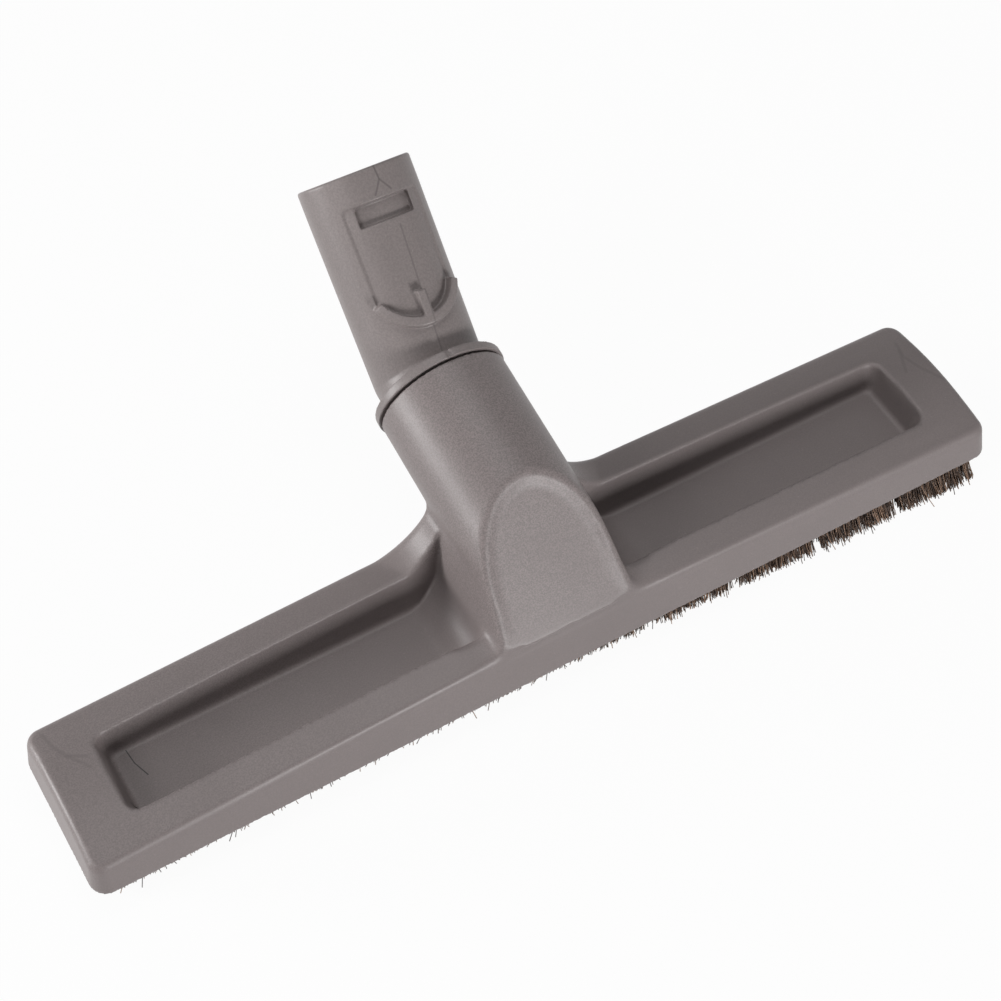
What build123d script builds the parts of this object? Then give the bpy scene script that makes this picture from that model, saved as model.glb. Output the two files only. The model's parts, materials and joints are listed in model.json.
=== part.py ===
# Vacuum floor brush head: a moulded bar with a neck, a swivel elbow and a brushed sole plate.
# X runs along the bar, Y from its front to its back and Z up. It is drawn about the floor under the bar's
# middle, and saved with its origin on the floor under the middle of the whole head.
import os
from math import cos, radians, sin, sqrt, tan

from build123d import *

# Bar
bar_length = 306.0
bar_depth = 53.0
crown_height = 20.0
end_height = 13.9
arch_rise = 3.8
wall_draft = 3.0
bar_wall = 2.4
corner_radius = 5.5
edge_radius = 3.0

# Pockets in the bar's top
pocket_rim_width = 17.8
pocket_half_width = 13.8
pocket_floor = 4.0
pocket_floor_wall = 1.9
pocket_draft = 5.0
pocket_corner_radius = 3.0
pocket_floor_radius = 1.4
pocket_sweep_radius = 13.0
dome_overlap = 0.3

# Neck and dome
neck_tilt = 11.4
neck_radius = 20.7
neck_wall = 2.3
mouth_reach = 50.6
mouth_height = 42.1
dome_flare = 8.5
facet_slope = 50.0
facet_foot_inset = 2.0
facet_foot_height = 17.3
facet_sink = 0.9
facet_border = 2.6
web_start = 25.0
web_radius = 26.0
web_sweep = 66.9
web_edge_radius = 3.0

# Swivel bearing
collar_length = 10.0
spigot_radius = 17.1
spigot_wall = 2.7
running_clearance = 0.08
end_clearance = 0.4

# Elbow
swivel_angle = 3.0
elbow_bend = 30.4
bend_offset = 9.8
tube_length = 61.8
tube_radius = 17.5
tip_length = 9.3
tube_wall = 3.1
flange_radius = 21.2
flange_thickness = 3.1
flange_nick_width = 1.4
flange_nick_depth = 0.5
tube_edge_radius = 0.8
panel_width = 24.0
panel_start = 23.8
panel_end = 52.3
panel_depth = 0.5
window_width = 17.4
window_start = 45.8
window_end = 52.0
window_depth = 1.9
crescent_drop = 8.5
crescent_width = 2.2
crescent_height = 1.5
rib_width = 2.7

# Retaining ring
ring_thickness = 1.6
ring_outer_radius = 18.1
ring_groove_depth = 0.9
ring_gap = 6.0
ring_clearance = 0.1

# Sole plate and its screws
plate_thickness = 2.0
plate_clearance = 0.25
slot_length = 34.0
slot_depth = 26.0
slot_corner_radius = 4.0
end_screw_inset = 9.0
inner_screw_place = 24.0
boss_radius = 3.2
screw_radius = 1.4
screw_length = 5.2
screw_head_radius = 2.5
screw_head_height = 1.0
screw_clearance = 0.12
screw_cross_length = 2.6
screw_cross_width = 0.6

# Bristle strips
bristle_length = 10.0
strip_count = 10
strip_end_inset = 5.4
strip_gap = 2.8
strip_width = 4.8
strip_inset = 3.4
strip_root_depth = 1.0
strip_clearance = 0.1
strip_root_narrowing = 0.6

# Places worked out from the sizes
skirt_z = bristle_length
half_length = bar_length / 2
half_depth = bar_depth / 2
pocket_end = half_length - pocket_rim_width
crown_slope = (crown_height - end_height) / half_length
floor_z = skirt_z + pocket_floor
plate_top_z = floor_z - pocket_floor_wall
plate_bottom_z = plate_top_z - plate_thickness
mouth_z = skirt_z + mouth_height
pocket_top = mouth_z
neck_direction = Vector(0, cos(radians(neck_tilt)), sin(radians(neck_tilt)))
neck_plane = Plane(origin=(0, mouth_reach, mouth_z), x_dir=(-1, 0, 0), z_dir=neck_direction)
axis_z = mouth_z - mouth_reach * tan(radians(neck_tilt))
flare = tan(radians(dome_flare))
facet_foot_y = -half_depth + facet_foot_inset
facet_foot_z = skirt_z + facet_foot_height
collar_radius = spigot_radius + running_clearance
spigot_bore_radius = spigot_radius - spigot_wall
ring_start = -collar_length - end_clearance
spigot_end = ring_start - 2 * ring_thickness
end_screw_place = half_length - end_screw_inset
screw_places = [(side * place, 0) for place in (end_screw_place, inner_screw_place) for side in (-1, 1)]
strip_row_y = half_depth - strip_inset - strip_width / 2
tube_bore_radius = tube_radius - tube_wall
turn = radians(swivel_angle)
bend = radians(elbow_bend)
elbow_side = neck_plane.x_dir * cos(turn) + neck_plane.y_dir * sin(turn)
elbow_plane = Plane(origin=neck_plane.origin, x_dir=elbow_side, z_dir=neck_direction)
tube_direction = elbow_plane.z_dir * cos(bend) + elbow_plane.y_dir * sin(bend)
tube_plane = Plane(origin=elbow_plane.offset(bend_offset).origin, x_dir=elbow_side, z_dir=tube_direction)
panel_plane = Plane(origin=tube_plane.origin, x_dir=-tube_plane.x_dir, z_dir=tube_plane.y_dir)
back_reach = tube_plane.offset(tube_length).origin.Y + tube_radius * sqrt(1 - tube_direction.Y**2)
saved_place = Pos(0, (half_depth - back_reach) / 2, 0)


def facet_plane(inset):
    """The tongue's slanted plane, moved inwards by the inset."""
    slope = radians(facet_slope)
    normal = Vector(0, -sin(slope), cos(slope))
    return Plane(origin=Vector(0, facet_foot_y, facet_foot_z) - normal * inset, x_dir=(1, 0, 0), z_dir=normal)


def side_x(z, inset):
    """How far the dome's flared side stands from the middle at height z."""
    return neck_radius - inset + (axis_z - z) * flare


def bar_section(x, inset):
    """Draw the bar's cross-section at x, shrunk by a wall."""
    top = skirt_z + crown_height - crown_slope * x - inset
    shoulder = top - arch_rise
    foot = half_depth - inset
    shoulder_y = foot - (shoulder - skirt_z) * tan(radians(wall_draft))
    with BuildSketch(Plane.YZ.offset(x)) as section:
        with BuildLine():
            Polyline((-shoulder_y, shoulder), (-foot, skirt_z), (foot, skirt_z), (shoulder_y, shoulder))
            ThreePointArc((shoulder_y, shoulder), (0, top), (-shoulder_y, shoulder))
        make_face()
    return section.sketch


def half_bar(inset):
    """One half of the bar, from its middle to its end."""
    with BuildPart() as half:
        add(bar_section(0, inset))
        add(bar_section(half_length - inset, inset))
        loft(ruled=True)
    return half


def pocket_tool(grow, floor_grow):
    """What one pocket takes out, or with a wall added what it keeps clear of the hollow inside."""
    bottom = floor_z - floor_grow
    tangent_reach = pocket_sweep_radius * (sqrt(1 + flare**2) - flare)
    sweep_middle = (side_x(floor_z, 0) - dome_overlap + tangent_reach, floor_z + pocket_sweep_radius)
    sweep = pocket_sweep_radius + grow
    lean = radians(dome_flare)
    with BuildPart() as tool:
        with BuildSketch(Plane.XY.offset(bottom)):
            floor_inset = (skirt_z + end_height - floor_z) * tan(radians(pocket_draft))
            far = pocket_end - floor_inset + grow
            side = pocket_half_width - floor_inset + grow
            with Locations((far / 2, 0)):
                Rectangle(far, 2 * side)
            fillet(vertices().group_by(Axis.X)[-1], pocket_corner_radius)
        extrude(amount=pocket_top - bottom, taper=-pocket_draft)
        if grow == 0:
            fillet(faces().sort_by(Axis.Z)[0].edges(), pocket_floor_radius)
        with BuildSketch(Plane.XZ.offset(-half_depth)):
            with BuildLine():
                start = (sweep_middle[0], sweep_middle[1] - sweep)
                half_lean = (radians(90) + lean) / 2
                halfway = (sweep_middle[0] - sweep * cos(half_lean), sweep_middle[1] - sweep * sin(half_lean))
                end = (sweep_middle[0] - sweep * cos(lean), sweep_middle[1] - sweep * sin(lean))
                ThreePointArc(start, halfway, end)
                Polyline(
                    end,
                    (end[0] - (pocket_top - end[1]) * tan(lean), pocket_top),
                    (bar_length, pocket_top),
                    (bar_length, bottom - bar_wall),
                    (start[0], bottom - bar_wall),
                    start,
                )
            make_face()
        extrude(amount=bar_depth, mode=Mode.INTERSECT)
    return tool


def dome_form(inset, front, back):
    """The neck's round and the flared skirt under it, cut off by the tongue's plane."""
    with BuildPart() as dome:
        with BuildSketch(neck_plane):
            Circle(neck_radius - inset)
        extrude(amount=-mouth_reach - bar_depth)
        with BuildSketch(Plane.XZ.offset(-back)):
            with BuildLine():
                Polyline(
                    (-side_x(skirt_z, inset), skirt_z),
                    (side_x(skirt_z, inset), skirt_z),
                    (side_x(axis_z, inset), axis_z),
                    (-side_x(axis_z, inset), axis_z),
                    close=True,
                )
            make_face()
        extrude(amount=back - front)
        with BuildSketch(Plane.XY.offset(skirt_z)):
            with Locations((0, (front + bar_length) / 2)):
                Rectangle(bar_length, bar_length - front)
        extrude(amount=bar_length, mode=Mode.INTERSECT)
        with BuildSketch(facet_plane(inset)):
            Rectangle(bar_length, bar_length)
        extrude(amount=bar_length, mode=Mode.SUBTRACT)
    return dome


# Outer form of the bar, one half with rounded corners and edges, then both
outer_half = half_bar(0)
with outer_half:
    end_edges = faces().sort_by(Axis.X)[-1].edges().sort_by(Axis.Y)
    fillet([end_edges[0], end_edges[-1]], corner_radius)
    top_edges = faces().sort_by(Axis.Z)[-1].edges().sort_by(Axis.X)[1:]
    fillet(top_edges, edge_radius)
inner_half = half_bar(bar_wall)
pocket = pocket_tool(0, 0)
pocket_shell = pocket_tool(bar_wall, pocket_floor_wall)

# Webs that sweep from the back rim up to the sides of the neck
with BuildPart() as web:
    web_foot = side_x(axis_z, 0) + web_start
    web_base = skirt_z + crown_height - arch_rise - crown_slope * web_foot
    sweep_points = []
    for angle in (0, radians(web_sweep) / 2, radians(web_sweep)):
        sweep_points.append((web_foot - web_radius * sin(angle), web_base + web_radius * (1 - cos(angle))))
    web_top = sweep_points[-1][1]
    with BuildSketch(Plane.XZ.offset(-half_depth)):
        with BuildLine():
            ThreePointArc(*sweep_points)
            Polyline(sweep_points[-1], (0, web_top), (0, skirt_z), (web_foot, skirt_z), sweep_points[0])
        make_face()
    extrude(amount=half_depth)
    with BuildSketch(Plane.XY.offset(skirt_z)):
        Rectangle(2 * bar_length, bar_depth)
    extrude(amount=bar_depth, taper=wall_draft, mode=Mode.INTERSECT)
    back_edges = faces().sort_by(Axis.Y)[-1].edges().filter_by(GeomType.LINE, reverse=True)
    fillet(back_edges, web_edge_radius)

# Dome with its tongue, a soft edge around a face sunk a little below it
dome_back = half_depth - 2 * (crown_height - arch_rise) * tan(radians(wall_draft))
tongue = facet_plane(0)
rise_rate = sin(radians(facet_slope)) - cos(radians(facet_slope)) * tan(radians(neck_tilt))
foot_to_axis = (axis_z + facet_foot_y * tan(radians(neck_tilt)) - facet_foot_z) / rise_rate
axis_to_apex = neck_radius / cos(radians(neck_tilt)) / rise_rate
with BuildPart() as dome:
    add(dome_form(0, facet_foot_y, dome_back).part)
    with BuildSketch(tongue):
        with BuildLine():
            foot_x = side_x(facet_foot_z, 0) - facet_border
            wide_x = neck_radius - facet_border
            corners = ((-wide_x, foot_to_axis), (-foot_x, 0), (foot_x, 0), (wide_x, foot_to_axis))
            Polyline(*corners, close=True)
        make_face()
        with Locations((0, foot_to_axis)):
            Ellipse(wide_x, axis_to_apex - facet_border)
    extrude(amount=-facet_sink, mode=Mode.SUBTRACT)

# Hollow under the bar and inside the dome and neck
dome_hollow = dome_form(neck_wall, facet_foot_y + bar_wall, pocket_half_width)
with BuildPart() as hollow:
    add(inner_half.part)
    add(pocket_shell.part, mode=Mode.SUBTRACT)
    mirror(about=Plane.YZ)
    add(dome_hollow.part)

# Screw bosses, from the plate's top up into the middle of the wall above them
with BuildPart() as bosses:
    boss_top = skirt_z + crown_height - crown_slope * end_screw_place - bar_wall / 2
    with BuildSketch(Plane.XY.offset(plate_top_z)):
        with Locations((end_screw_place, 0), (inner_screw_place, 0)):
            Circle(boss_radius)
    extrude(amount=boss_top - plate_top_z)
    add(pocket_tool(bar_wall / 2, pocket_floor_wall / 2).part, mode=Mode.SUBTRACT)
    mirror(about=Plane.YZ)

with BuildPart() as housing:
    add(outer_half.part)
    add(web.part)
    add(pocket.part, mode=Mode.SUBTRACT)
    mirror(about=Plane.YZ)
    add(dome.part)
    add(hollow.part, mode=Mode.SUBTRACT)
    add(bosses.part)
    with BuildSketch(neck_plane):
        Circle(neck_radius - neck_wall / 2)
        Circle(collar_radius, mode=Mode.SUBTRACT)
    extrude(amount=-collar_length)
    with BuildSketch(Plane.XY.offset(plate_top_z)):
        with Locations(*screw_places):
            Circle(screw_radius + screw_clearance)
    extrude(amount=screw_length - (plate_thickness - screw_head_height), mode=Mode.SUBTRACT)
housing.part.label = "housing"


def tube_form(grow):
    """The tube's outside, which widens a little from the spigot's size to an even tip."""
    with BuildPart() as form:
        with Locations(tube_plane):
            Cone(
                spigot_radius + grow,
                tube_radius + grow,
                tube_length - tip_length,
                align=(Align.CENTER, Align.CENTER, Align.MIN),
            )
        with BuildSketch(tube_plane.offset(tube_length - tip_length)):
            Circle(tube_radius + grow)
        extrude(amount=tip_length)
    return form.part


def tube_skin(width, start, end, depth):
    """A shallow cut in the front of the tube, as deep all round."""
    with BuildPart() as skin:
        with BuildSketch(panel_plane):
            with Locations((0, (start + end) / 2)):
                Rectangle(width, end - start)
        extrude(amount=2 * tube_radius)
        add(tube_form(-depth), mode=Mode.SUBTRACT)
    return skin.part


# Crescent stop and its middle rib, standing proud of the tube, and the panel's floor carried on down to them
half_panel = panel_width / 2
crescent_radius = (half_panel**2 + crescent_drop**2) / (2 * crescent_drop)
crescent_middle = panel_start - crescent_drop + crescent_radius
with BuildPart() as crescent_floor:
    with BuildSketch(panel_plane):
        with Locations((0, crescent_middle)):
            Circle(crescent_radius)
        with Locations((0, panel_start - crescent_drop / 2)):
            Rectangle(panel_width, crescent_drop, mode=Mode.INTERSECT)
    extrude(amount=2 * tube_radius)
    add(tube_form(-panel_depth), mode=Mode.SUBTRACT)
with BuildPart() as crescent:
    with BuildSketch(panel_plane):
        with Locations((0, crescent_middle)):
            Circle(crescent_radius + crescent_width / 2)
            Circle(crescent_radius - crescent_width / 2, mode=Mode.SUBTRACT)
        with Locations((0, panel_start - crescent_drop)):
            Rectangle(2 * panel_width, 2 * crescent_drop, mode=Mode.INTERSECT)
        with Locations((0, panel_start - crescent_drop / 2)):
            Rectangle(rib_width, crescent_drop)
    extrude(amount=2 * tube_radius)
    add(tube_form(crescent_height), mode=Mode.INTERSECT)

with BuildPart() as swivel_elbow:
    with BuildSketch(elbow_plane.offset(spigot_end)):
        Circle(spigot_radius)
    extrude(amount=bend_offset - spigot_end)
    with BuildSketch(elbow_plane.offset(end_clearance)):
        Circle(flange_radius)
        with Locations((0, flange_radius)):
            Rectangle(flange_nick_width, 2 * flange_nick_depth, mode=Mode.SUBTRACT)
    extrude(amount=flange_thickness)
    with Locations(tube_plane):
        Sphere(spigot_radius)
    add(tube_form(0))
    add(tube_skin(panel_width, panel_start, panel_end, panel_depth), mode=Mode.SUBTRACT)
    add(tube_skin(window_width, window_start, window_end, panel_depth + window_depth), mode=Mode.SUBTRACT)
    add(crescent_floor.part, mode=Mode.SUBTRACT)
    add(crescent.part)
    with BuildSketch(elbow_plane.offset(spigot_end)):
        Circle(spigot_bore_radius)
    extrude(amount=bend_offset - spigot_end, mode=Mode.SUBTRACT)
    with Locations(tube_plane):
        Sphere(spigot_bore_radius, mode=Mode.SUBTRACT)
    with BuildSketch(tube_plane):
        Circle(tube_bore_radius)
    extrude(amount=tube_length, mode=Mode.SUBTRACT)
    groove_height = ring_thickness + 2 * ring_clearance
    with BuildSketch(elbow_plane.offset(ring_start + ring_clearance)):
        Circle(spigot_radius + ring_clearance)
        Circle(spigot_radius - ring_groove_depth, mode=Mode.SUBTRACT)
    extrude(amount=-groove_height, mode=Mode.SUBTRACT)
    mouth_edges = edges().sort_by(Axis(tube_plane.origin, tube_plane.z_dir))[-2:]
    fillet(mouth_edges, tube_edge_radius)
swivel_elbow.part.label = "swivel_elbow"

# Split ring in the spigot's groove, behind the neck's collar
with BuildPart() as retaining_ring:
    with BuildSketch(elbow_plane.offset(ring_start)):
        Circle(ring_outer_radius)
        Circle(spigot_radius - ring_groove_depth + ring_clearance, mode=Mode.SUBTRACT)
        with Locations((0, -ring_outer_radius)):
            Rectangle(ring_gap, ring_outer_radius, mode=Mode.SUBTRACT)
    extrude(amount=-ring_thickness)
retaining_ring.part.label = "retaining_ring"

# Sole plate with its suction slot, screw holes and the grooves that hold the bristle strips
strip_pitch = (bar_length - 2 * strip_end_inset + strip_gap) / strip_count
strip_length = strip_pitch - strip_gap
strip_xs = [(index - (strip_count - 1) / 2) * strip_pitch for index in range(strip_count)]
root_length = strip_length - 2 * strip_root_narrowing
root_width = strip_width - 2 * strip_root_narrowing
with BuildPart() as sole_plate:
    with BuildSketch(Plane.XY.offset(plate_bottom_z)):
        plate_x = half_length - bar_wall - plate_clearance
        plate_y = half_depth - bar_wall - plate_clearance
        RectangleRounded(2 * plate_x, 2 * plate_y, corner_radius - bar_wall)
        RectangleRounded(slot_length, slot_depth, slot_corner_radius, mode=Mode.SUBTRACT)
        with Locations(*screw_places):
            Circle(screw_radius + screw_clearance, mode=Mode.SUBTRACT)
    extrude(amount=plate_thickness)
    with BuildSketch(Plane.XY.offset(plate_bottom_z)):
        with Locations(*screw_places):
            Circle(screw_head_radius + screw_clearance)
    extrude(amount=screw_head_height, mode=Mode.SUBTRACT)
    with BuildSketch(Plane.XY.offset(plate_bottom_z)):
        with Locations(*[(x, side * strip_row_y) for x in strip_xs for side in (-1, 1)]):
            Rectangle(root_length + 2 * strip_clearance, root_width + 2 * strip_clearance)
    extrude(amount=strip_root_depth, mode=Mode.SUBTRACT)
sole_plate.part.label = "sole_plate"


def bristle_strip(x, y, name):
    """One strip of hair, its root in the plate's groove and its tips on the floor."""
    with BuildPart() as strip:
        with BuildSketch():
            with Locations((x, y)):
                Rectangle(strip_length, strip_width)
        extrude(amount=plate_bottom_z)
        with BuildSketch(Plane.XY.offset(plate_bottom_z)):
            with Locations((x, y)):
                Rectangle(root_length, root_width)
        extrude(amount=strip_root_depth)
    strip.part.label = name
    return strip.part


# Screws, heads sunk in the plate and shanks in the bosses
with BuildPart() as plate_screws:
    with BuildSketch(Plane.XY.offset(plate_bottom_z)):
        with Locations(*screw_places):
            Circle(screw_head_radius)
    extrude(amount=screw_head_height)
    with BuildSketch(Plane.XY.offset(plate_bottom_z + screw_head_height)):
        with Locations(*screw_places):
            Circle(screw_radius)
    extrude(amount=screw_length - screw_clearance)
    with BuildSketch(Plane.XY.offset(plate_bottom_z)):
        with Locations(*screw_places):
            Rectangle(screw_cross_length, screw_cross_width)
            Rectangle(screw_cross_width, screw_cross_length)
    extrude(amount=screw_head_height / 2, mode=Mode.SUBTRACT)
plate_screws.part.label = "plate_screws"

os.makedirs("parts", exist_ok=True)
for piece in (housing, swivel_elbow, retaining_ring, sole_plate, plate_screws):
    export_step(saved_place * piece.part, f"parts/{piece.part.label}.step")
for row, side in (("front", -1), ("rear", 1)):
    for index, x in enumerate(strip_xs, start=1):
        strip_piece = bristle_strip(x, side * strip_row_y, f"{row}_bristles_{index:02d}")
        export_step(saved_place * strip_piece, f"parts/{strip_piece.label}.step")
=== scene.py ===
"""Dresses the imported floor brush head: soft mouldings, hair, finishes and a plain stage."""
import json
import math

import bmesh
import bpy
import numpy as np
from mathutils import Euler, Matrix, Vector


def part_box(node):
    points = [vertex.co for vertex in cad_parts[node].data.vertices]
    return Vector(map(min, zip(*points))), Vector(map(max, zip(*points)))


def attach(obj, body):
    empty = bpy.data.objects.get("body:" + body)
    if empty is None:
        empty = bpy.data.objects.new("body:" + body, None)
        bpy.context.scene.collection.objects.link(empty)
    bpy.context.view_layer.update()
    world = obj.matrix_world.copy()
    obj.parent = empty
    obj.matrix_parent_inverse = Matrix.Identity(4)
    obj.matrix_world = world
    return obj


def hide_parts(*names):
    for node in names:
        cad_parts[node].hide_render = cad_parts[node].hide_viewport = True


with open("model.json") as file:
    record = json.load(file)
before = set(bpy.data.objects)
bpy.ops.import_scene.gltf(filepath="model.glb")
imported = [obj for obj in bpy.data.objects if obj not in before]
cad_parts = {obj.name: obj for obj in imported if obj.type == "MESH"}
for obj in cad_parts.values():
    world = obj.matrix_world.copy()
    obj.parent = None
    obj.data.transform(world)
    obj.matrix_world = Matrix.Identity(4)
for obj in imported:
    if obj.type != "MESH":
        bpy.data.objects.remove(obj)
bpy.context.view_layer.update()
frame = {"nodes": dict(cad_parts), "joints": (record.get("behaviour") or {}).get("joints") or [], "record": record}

bl_info = {
    "name": "Floor brush head",
    "version": (1, 0, 0),
    "blender": (4, 5, 0),
    "location": "View3D > Sidebar > Brush head",
    "description": "Dresses a vacuum floor brush head and its stage",
    "category": "Object",
}

MILLIMETRE = 0.001
WHITE = (1.0, 1.0, 1.0)


def millimetres(*lengths):
    """Lengths in metres from lengths in millimetres."""
    return tuple(length * MILLIMETRE for length in lengths)


# Places of the sockets whose names repeat on their nodes
MIX_FIRST = 6
MIX_SECOND = 7
MIX_RESULT = 2
RANDOM_LEAST = 2
RANDOM_MOST = 3
RANDOM_RESULT = 1

# How the fine meshes are made: turned against the voxels, merged, drawn together and thinned out
REMESH_TURN = (0.3, 0.2, 0.4)
MERGE_DISTANCE = 1e-6
SOFTEN_STEP = 0.5
SPREAD_KEEP = 0.97
MOST_TRIANGLES = 190000
NORMAL_WEIGHT = 60

# The pockets in the bar's top
POCKET_FLOOR_WALL = 1.9 * MILLIMETRE
POCKET_END = 135.6 * MILLIMETRE
POCKET_HALF_WIDTH = 14.3 * MILLIMETRE
POCKET_DEPTH = 10.0 * MILLIMETRE
POCKET_MIDDLE = 60.0 * MILLIMETRE
POCKET_FLOOR_END = 134.0 * MILLIMETRE
POCKET_FLOOR_HALF_WIDTH = 12.9 * MILLIMETRE
POCKET_START = millimetres(24.0, 32.0)

# The soft zones of the housing, each with the two distances that it fades between
FIRST_ROUNDS = 2
CREASE_ROUNDS = 4
CREASE_START = 0.06
CREASE_FULL = 0.12
ABOVE_SKIRT = millimetres(1.0, 4.0)
BELOW_MOUTH = millimetres(0.4, 1.6)
ABOVE_FLOOR = millimetres(2.0, 4.5)
OFF_DOME = millimetres(20.0, 27.0)
BESIDE_RIM = millimetres(2.8, 5.0)
DOME_REACH = millimetres(30.0, 46.0)
DOME_FLANK = millimetres(18.5, 20.5)
BEHIND_TONGUE = millimetres(3.0, 7.0)
CORNER_X = 26.0 * MILLIMETRE
CORNER_Y = -17.5 * MILLIMETRE
BESIDE_CORNER = millimetres(4.0, 9.5)

# Where the bar's front and end walls begin to lean, over what reach and height
FRONT_LEAN_START = -20.3 * MILLIMETRE
END_LEAN_START = 146.8 * MILLIMETRE
LEAN_REACH = 6.2 * MILLIMETRE
LEAN_HEIGHT = 12.0 * MILLIMETRE
LEAN_MARGIN = 0.8 * MILLIMETRE
RIM_SLOPE = 0.28

# The tongue on the dome's front
FACET_SLOPE = 50.0
FACET_FOOT_REACH = 24.5 * MILLIMETRE
FACET_FOOT_Z = 27.3 * MILLIMETRE
FACET_SINK = 0.9 * MILLIMETRE
TONGUE_HALF_WIDTH = 18.1 * MILLIMETRE
TONGUE_SPLAY = 0.144
TONGUE_WAIST = 15.2 * MILLIMETRE
TONGUE_RISE = 30.6 * MILLIMETRE
FACE_MARGIN = 0.2 * MILLIMETRE
FACE_OVERLAP = 0.4 * MILLIMETRE
FACE_DROP = 1.0 * MILLIMETRE
FOOT_OVERLAP = 3.0 * MILLIMETRE
BESIDE_BORDER = millimetres(2.0, 3.6)
ABOVE_FOOT = millimetres(2.0, 5.0)
BESIDE_FOOT = millimetres(1.6, 3.0)
NEAR_FACET = millimetres(-3.0, -2.0)
NEAR_ZERO = 1e-6

# Lines on the housing's top in millimetres: along the bar, then back from its middle
LEFT_FLOW = ((-146.7, 22.5), (-145.5, 16.4), (-143.3, 11.4), (-138.9, 4.5))
LEFT_FLOW_BRANCH = ((-143.3, 11.4), (-138.5, 8.5))
RIGHT_FLOW = ((145.7, 16.5), (144.1, 10.2), (145.8, 3.7), (150.2, -4.8))
RIGHT_FLOW_BRANCH = ((144.7, 13.4), (140.8, 4.5))
POCKET_HAIR = ((-127.3, 10.1), (-126.8, 5.2), (-125.0, 0.0))
CORNER_HAIR = ((-133.2, -7.4), (-130.8, -9.6))

# Lines on the tube's front in millimetres: across to the left, then up from the wand's seat
TUBE_SEAM = ((-2.2, -13.5), (0.0, -56.0))
MOUTH_STEM = ((-0.5, 5.3), (-0.8, 0.7))
MOUTH_FORK = ((1.9, -3.2), (-0.8, 0.7), (-3.3, -2.9))

# How these lines look: width, strength, and share of the plastic's colour
LINE_CORE = 0.3
FLOW_WIDTH = 0.8 * MILLIMETRE
FLOW_STRENGTH = 0.45
FLOW_SHADE = 0.72
STRAY_WIDTH = 0.26 * MILLIMETRE
STRAY_SHADE = 0.08
MOULD_LINES = ((TUBE_SEAM, 0.5), (MOUTH_STEM, 0.8), (MOUTH_FORK, 0.7))
MOULD_SHADE = 0.5
ABOVE_PLATE = millimetres(1.0, 1.6)
FRONT_OF_TUBE = millimetres(14.0, 15.0)

# Where the housing's mould has its sanding grain, and how much; the same share paints it a little lighter, a
# painted sheen on the dome, neck and left half
SANDED_SHEEN_ACROSS = millimetres(20.0, 40.0)
SANDED_SHEEN_HEIGHT = millimetres(22.0, 34.0)
SANDED_SHEEN_LEFT = millimetres(-110.0, -20.0)
SANDED_SHEEN_FRONT = millimetres(-1.0, 2.5)
LEFT_SANDING_AND_SHEEN = 0.5
LEAST_SANDING_AND_SHEEN = 0.12
PLAIN_SANDING = 0.3

# Grain of the plastics, with its depth
HOUSING_GRAIN_DEPTH = 0.08 * MILLIMETRE
ELBOW_GRAIN = 0.6 * MILLIMETRE
ELBOW_GRAIN_DEPTH = 0.03 * MILLIMETRE
PLATE_GRAIN = 0.8 * MILLIMETRE
PLATE_GRAIN_DEPTH = 0.06 * MILLIMETRE

# How plastic varies: its noises, where they fade, and their shares of its colour and gloss
GRAIN_DETAIL = 2.0
GRAIN_ROUGHNESS = 0.6
GRAIN_FADE = (0.34, 0.66)
GRAIN_GLOSS = 0.1
GRAIN_STRENGTH = 0.5
SMOOTH_SHADES = (0.97, 1.03)
# The sanding shades are grainier and lighter on average: the grain is real, the lift is a painted sheen
SANDED_AND_SHEEN_SHADES = (0.82, 1.3)
CLOUD_SCALE = 38.0
CLOUD_DETAIL = 3.0
CLOUD_FADE = (0.4, 0.72)
CLOUD_STRENGTH = 0.3
CLOUD_SHADE = 0.88
CLOUD_GLOSS = 0.14
SPECK_SCALE = 0.5
SPECK_DETAIL = 1.0
SPECK_FADE = (0.74, 0.8)
SPECK_STRENGTH = 0.3
SPECK_SHADE = 1.6
SPECULAR_LEVEL = 0.35
NOISE_MIDDLE = 0.5

# Steel, and how matt the hidden pieces are
DRAWN_SCALE = 2600.0
DRAWN_DETAIL = 3.0
DRAWN_SHADES = (0.8, 1.15)
DRAWN_GLOSS = 0.25
PLATE_ROUGHNESS = 0.5
SCREW_ROUGHNESS = 0.32
RING_ROUGHNESS = 0.28

# Name, direction round the head, height in degrees, size and power of each lamp
LAMPS = (
    ("Front lamp", 9.0, 6.0, 0.28, 9.2),
    ("Top lamp", 135.0, 83.0, 0.8, 4.7),
    ("Left lamp", -80.0, 38.0, 0.4, 2.7),
    ("Low left lamp", -115.0, 8.0, 0.4, 11.0),
    ("Back lamp", -170.0, 40.0, 0.6, 0.5),
)
LAMP_REACH = 1.2
LAMP_AIM = Vector((0.0, 0.0, 0.04))
FLOOR_SIZE = 6.0

# The camera's own directions, its sensor and how near and far it sees
CAMERA_ACROSS = Vector((0.86608, -0.49989, -0.00299))
CAMERA_BELOW = Vector((-0.41029, -0.70741, -0.57553))
CAMERA_AHEAD = Vector((0.28559, 0.49969, -0.81777))
SENSOR_WIDTH = 36.0
NEAREST_SEEN = 0.01
FARTHEST_SEEN = 20.0

# The flange's underside, by height over the neck's mouth and by radius
FLANGE_START = millimetres(-0.3, 0.0)
FLANGE_END = millimetres(0.4, 1.2)
FLANGE_OUTSIDE = millimetres(17.3, 18.2)

# The crescent stop along the tube from the wand's seat, and the tube's radius under it
STOP_START = -43.0 * MILLIMETRE
STOP_END = -29.0 * MILLIMETRE
STOP_FADE = 2.0 * MILLIMETRE
STOP_RADIUS = 17.45 * MILLIMETRE
STOP_MIDDLE = -28.73 * MILLIMETRE
STOP_ARC_RADIUS = 12.72 * MILLIMETRE
STOP_EDGE = 0.9 * MILLIMETRE
STOP_RUN_IN = 1.2 * MILLIMETRE
STOP_RUN_OUT = 9.0 * MILLIMETRE
STOP_TIPS = 4.0 * MILLIMETRE

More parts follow.
